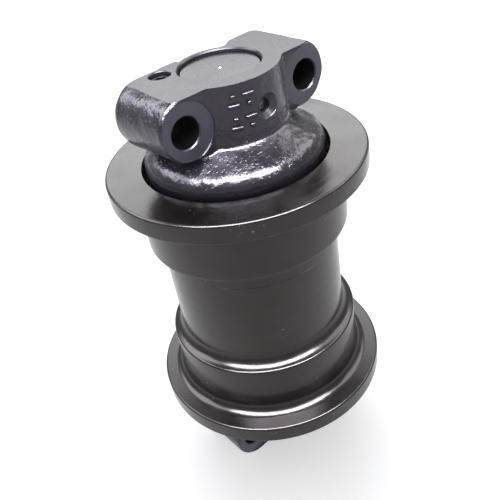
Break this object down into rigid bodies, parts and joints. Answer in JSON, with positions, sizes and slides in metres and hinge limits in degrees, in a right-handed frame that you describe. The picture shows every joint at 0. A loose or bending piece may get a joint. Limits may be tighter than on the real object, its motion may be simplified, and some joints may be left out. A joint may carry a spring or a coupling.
{
  "type": "track roller",
  "caption": "Double-flanged lower track roller for a crawler undercarriage, with a fixed shaft and a bolt-on collar at each end.",
  "frame": {"origin": "middle of the roller, on the shaft axis halfway between the two collar end faces", "axes": "+Z along the shaft towards the upper collar; +Y towards the mounting pads of both collars; +X across the ears, to the right seen from the bolt seats"},
  "size_m": [0.19, 0.19, 0.34],
  "materials": {
    "shell_paint": "gloss black enamel over machined and forged steel",
    "collar_paint": "gloss black enamel over a rough sand casting, smoother on the machined faces",
    "shaft_paint": "turned end face under the same black enamel; ground steel inside",
    "plug_paint": "steel socket plug, painted over",
    "pin_steel": "ground steel dowel",
    "bush_bronze": "machined bearing bronze",
    "seal_iron": "lapped hard iron seal faces",
    "seal_rubber": "moulded nitrile rubber",
    "washer_copper": "soft copper washer"
  },
  "bodies": {
    "axle": {"shaft": "shaft_paint", "upper_collar": "collar_paint", "upper_collar_seal_ring": "seal_iron", "upper_collar_toric": "seal_rubber", "upper_shaft_o_ring": "seal_rubber", "upper_lock_pin": "pin_steel", "upper_fill_plug": "plug_paint", "upper_plug_washer": "washer_copper", "lower_collar": "collar_paint", "lower_collar_seal_ring": "seal_iron", "lower_collar_toric": "seal_rubber", "lower_shaft_o_ring": "seal_rubber", "lower_lock_pin": "pin_steel", "lower_fill_plug": "plug_paint", "lower_plug_washer": "washer_copper"},
    "roller": {"roller_shell": "shell_paint", "upper_bush": "bush_bronze", "upper_shell_seal_ring": "seal_iron", "upper_shell_toric": "seal_rubber", "lower_bush": "bush_bronze", "lower_shell_seal_ring": "seal_iron", "lower_shell_toric": "seal_rubber"}
  },
  "joints": [
    {"name": "roller_spin", "type": "hinge", "parent": "axle", "child": "roller", "pos_m": [0, 0, 0], "axis": [0, 0, 1], "continuous": true}
  ]
}
